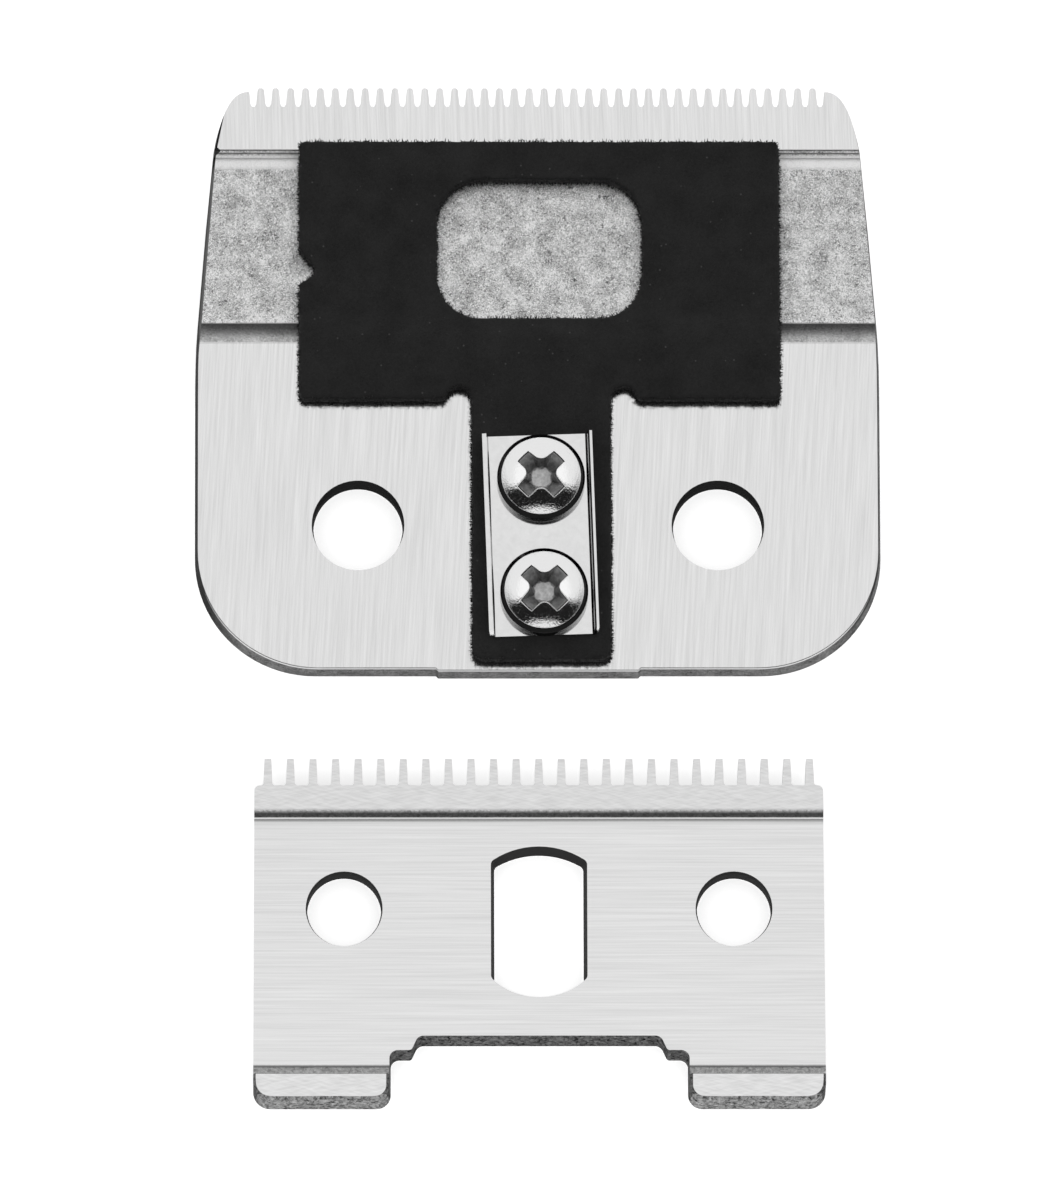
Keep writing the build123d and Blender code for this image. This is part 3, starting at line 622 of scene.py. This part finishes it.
def makeFelt(look):
    material, tree = startMaterial("blackWoolFelt")
    coords = addNode(tree, "TexCoord").outputs["Object"]
    tangled = {"Scale": 1 / look["fibre"], "Detail": 4.0, "Roughness": 0.7, "Distortion": 1.5}
    tangle = addNode(tree, "TexNoise", tangled, {"Vector": coords})
    cloud = addNode(tree, "TexNoise", {"Scale": 1 / look["cloud"], "Detail": 2.0}, {"Vector": coords})
    level = addNode(tree, "Math", {"operation": "MULTIPLY_ADD", 1: look["cloudShare"]}, {0: cloud, 2: tangle})
    level = addNode(tree, "MapRange", look["tangleRange"], {"Value": level})
    tones = {"data_type": "RGBA", toneA: linear(look["tone"]), toneB: linear(look["paleTone"])}
    tone = addNode(tree, "Mix", tones, {mixShare: level})
    cells = addNode(tree, "TexVoronoi", {"Scale": 1 / look["fleckSpacing"]}, {"Vector": coords})
    speck = {**look["fleckReach"], "To Max": look["fleckShare"]}
    flecks = addNode(tree, "MapRange", speck, {"Value": cells.outputs["Distance"]})
    tone = addNode(tree, "Mix", {"data_type": "RGBA", toneB: linear(look["fleck"])},
                   {mixShare: flecks, toneA: tone})
    # painted shade: the cut walls' open fibres are painted near black
    facing = addNode(tree, "NewGeometry").outputs["Normal"]
    slope = addNode(tree, "SeparateXYZ", links={0: facing}).outputs
    cut = addNode(tree, "MapRange", look["cutFacing"], {"Value": slope["Z"]})
    tone = addNode(tree, "Mix", {"data_type": "RGBA", toneB: linear(look["wallTone"])},
                   {mixShare: cut, toneA: tone})
    depth = {"Strength": look["tangleStrength"], "Distance": look["tangleDepth"]}
    bump = addNode(tree, "Bump", depth, {"Height": tangle})
    matte = {"Roughness": 0.95, "Specular IOR Level": 0.2, "Sheen Weight": 0.12}
    shader = addNode(tree, "BsdfPrincipled", matte, {"Base Color": tone, "Normal": bump})
    addNode(tree, "OutputMaterial", links={"Surface": shader})
    return material


def addPiece(name, form):
    mesh = bpy.data.meshes.new(name)
    form.to_mesh(mesh)
    form.free()
    piece = bpy.data.objects.new(name, mesh)
    bpy.context.scene.collection.objects.link(piece)
    return piece


def makeFeltPad(look):
    form = bmesh.new()
    form.from_mesh(nodes["felt_pad"].data)
    bmesh.ops.remove_doubles(form, verts=form.verts[:], dist=look["mergeReach"])
    draft = addPiece("feltDraft", form)
    remesh = draft.modifiers.new("remesh", "REMESH")
    remesh.mode = "VOXEL"
    remesh.voxel_size = look["voxel"]
    fine = bpy.data.meshes.new_from_object(draft.evaluated_get(bpy.context.evaluated_depsgraph_get()))
    bpy.data.objects.remove(draft)
    form = bmesh.new()
    form.from_mesh(fine)
    bpy.data.meshes.remove(fine)
    for _ in range(look["smoothRounds"]):
        bmesh.ops.smooth_vert(form, verts=form.verts[:], factor=0.5,
                              use_axis_x=True, use_axis_y=True, use_axis_z=True)
    form.normal_update()
    # pressed fibres give the faces a slight grain and the cut edges a ragged one
    ragged = look["edgeLift"] - look["surfaceLift"]
    for vert in form.verts:
        edge = 1 - min(1, abs(vert.normal.z) * look["edgeSharpness"])
        ripple = noise.fractal(vert.co / look["edgeGrain"], 0.8, 2.0, 3)
        vert.co += vert.normal * ripple * (look["surfaceLift"] + ragged * edge)
    form.normal_update()
    edgeVerts = [(v.co.copy(), v.normal.copy()) for v in form.verts if abs(v.normal.z) < look["hairFacing"]]
    bmesh.ops.recalc_face_normals(form, faces=form.faces[:])
    for face in form.faces:
        face.smooth = True
    pad = addPiece("felt_pad_cloth", form)

    # loose hairs along the cut edges
    draw = random.Random(look["hairSeed"])
    thick = look["hairRadius"]
    form = bmesh.new()
    for _ in range(look["hairCount"]):
        root, out = draw.choice(edgeVerts)
        stray = Vector((draw.gauss(0, 0.6), draw.gauss(0, 0.6), draw.gauss(0.1, 0.5)))
        lean = (out + stray).normalized()
        length = draw.uniform(*look["hairLength"])
        turn = lean.to_track_quat("Z", "Y").to_matrix().to_4x4()
        place = Matrix.Translation(root + lean * length * look["hairOut"]) @ turn
        bmesh.ops.create_cone(form, cap_ends=True, segments=3, radius1=thick, radius2=thick * look["hairTip"],
                              depth=length, matrix=place)
    hairs = addPiece("felt_hairs", form)
    material = makeFelt(look)
    for piece in (pad, hairs):
        dress(piece, material)
        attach(piece, "root")
    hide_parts("felt_pad")


makeFeltPad(felt)
print("felt made")

# camera at the photograph's angle
lens = {
    "elevation": 75.3,  # degrees
    "azimuth": 2.5,
    "distance": 1.4,
    "target": (-0.00072, -0.000575, 0.002),
    "frameHeight": 0.0846,
    "sensor": 36.0,  # mm
    "clip": 0.01,
}


def placeCamera(look):
    data = bpy.data.cameras.new("camera")
    data.sensor_fit = "VERTICAL"
    data.sensor_height = look["sensor"]
    data.lens = look["sensor"] * look["distance"] / look["frameHeight"]
    data.clip_start = look["clip"]
    camera = bpy.data.objects.new("camera", data)
    bpy.context.scene.collection.objects.link(camera)
    tilt = math.radians(look["elevation"])
    turn = math.radians(look["azimuth"])
    away = Vector((-math.sin(turn) * math.cos(tilt), -math.cos(turn) * math.cos(tilt), math.sin(tilt)))
    camera.location = Vector(look["target"]) + away * look["distance"]
    # rolled so that the blades' long edges stay level
    roll = Quaternion((0, 0, 1), math.atan(math.tan(turn) * math.sin(tilt)))
    camera.rotation_euler = (away.to_track_quat("Z", "Y") @ roll).to_euler()
    bpy.context.scene.camera = camera


placeCamera(lens)

# white paper table that keeps the soft shadow
table = {"size": 6.0, "drop": 0.00005, "tone": "#ececec", "lift": 0.6}


def makeTable(look):
    form = bmesh.new()
    lowered = Matrix.Translation((0, 0, -look["drop"]))
    bmesh.ops.create_grid(form, x_segments=1, y_segments=1, size=look["size"] / 2, matrix=lowered)
    piece = addPiece("table", form)
    material, tree = startMaterial("whitePaper")
    path = addNode(tree, "LightPath").outputs
    seen = path["Is Camera Ray"]
    for ray in ("Is Glossy Ray", "Is Transmission Ray"):
        seen = addNode(tree, "Math", {"operation": "MAXIMUM"}, {0: seen, 1: path[ray]})
    strength = addNode(tree, "Math", {"operation": "MULTIPLY", 1: look["lift"]}, {0: seen})
    glow = addNode(tree, "Emission", links={"Strength": strength})
    paper = addNode(tree, "BsdfDiffuse", {"Color": linear(look["tone"])})
    both = addNode(tree, "AddShader", links={0: paper, 1: glow})
    addNode(tree, "OutputMaterial", links={"Surface": both})
    dress(piece, material)


makeTable(table)

# a wide softbox overhead and pale walls; bright metal mirrors a dark camera side with one lit strip
studio = {
    "sky": 1.0,
    "horizon": 0.3,
    "horizonRise": {"From Min": 0.1, "From Max": 0.4},  # edges are parts of a direction of length 1
    "mirrored": 1.0,
    "gap": 0.012,
    "walls": 0.75,
    "wallTop": {"From Min": 0.46, "From Max": 0.34},
    "ceilingLean": 0.5,
    "ceilingEdge": {"From Min": 0.42, "From Max": 0.56},
    "farSide": {"From Min": -0.15, "From Max": -0.05},
    "strip": -0.775,
    "stripHalf": 0.085,
    "stripFoot": {"From Min": 0.25, "From Max": 0.4},
    "panelSize": (2.2, 1.0),
    "panelCentre": (0.0, 0.36, 1.1),
    "panelPower": 0.95,
}


def makeStudio(look):
    world = bpy.data.worlds.new("studio")
    bpy.context.scene.world = world
    world.use_nodes = True
    tree = world.node_tree
    tree.nodes.clear()
    coords = addNode(tree, "TexCoord").outputs["Generated"]
    way = addNode(tree, "SeparateXYZ", links={0: coords}).outputs
    sky = {**look["horizonRise"], "To Min": look["horizon"], "To Max": look["sky"]}
    level = addNode(tree, "MapRange", sky, {"Value": way["Z"]})
    leaning = {"operation": "MULTIPLY_ADD", 1: look["ceilingLean"]}
    lean = addNode(tree, "Math", leaning, {0: way["Y"], 2: way["Z"]})
    ceiling = addNode(tree, "MapRange", look["ceilingEdge"], {"Value": lean})
    farSide = addNode(tree, "MapRange", look["farSide"], {"Value": way["Y"]})
    ceiling = addNode(tree, "Math", {"operation": "MULTIPLY"}, {0: ceiling, 1: farSide})
    stripBand = {"operation": "COMPARE", 1: look["strip"], 2: look["stripHalf"]}
    strip = addNode(tree, "Math", stripBand, {0: way["Y"]})
    above = addNode(tree, "MapRange", look["stripFoot"], {"Value": way["Z"]})
    strip = addNode(tree, "Math", {"operation": "MULTIPLY"}, {0: strip, 1: above})
    walls = addNode(tree, "MapRange", {**look["wallTop"], "To Max": look["walls"]}, {"Value": way["Z"]})
    lit = addNode(tree, "Math", {"operation": "MAXIMUM"}, {0: ceiling, 1: strip})
    lit = addNode(tree, "Math", {"operation": "MAXIMUM"}, {0: lit, 1: walls})
    room = addNode(tree, "MapRange", {"To Min": look["gap"], "To Max": look["mirrored"]}, {"Value": lit})
    mirrorRay = addNode(tree, "LightPath").outputs["Is Glossy Ray"]
    strength = addNode(tree, "Mix", links={mixShare: mirrorRay, valueA: level, valueB: room})
    light = addNode(tree, "Background", links={"Strength": strength})
    addNode(tree, "OutputWorld", links={"Surface": light})
    panel = bpy.data.lights.new("softbox", "AREA")
    panel.shape = "RECTANGLE"
    panel.size, panel.size_y = look["panelSize"]
    panel.energy = look["panelPower"]
    softbox = bpy.data.objects.new("softbox", panel)
    bpy.context.scene.collection.objects.link(softbox)
    softbox.location = look["panelCentre"]


makeStudio(studio)
bpy.context.scene.view_settings.view_transform = "Standard"
print("camera, table and light placed")
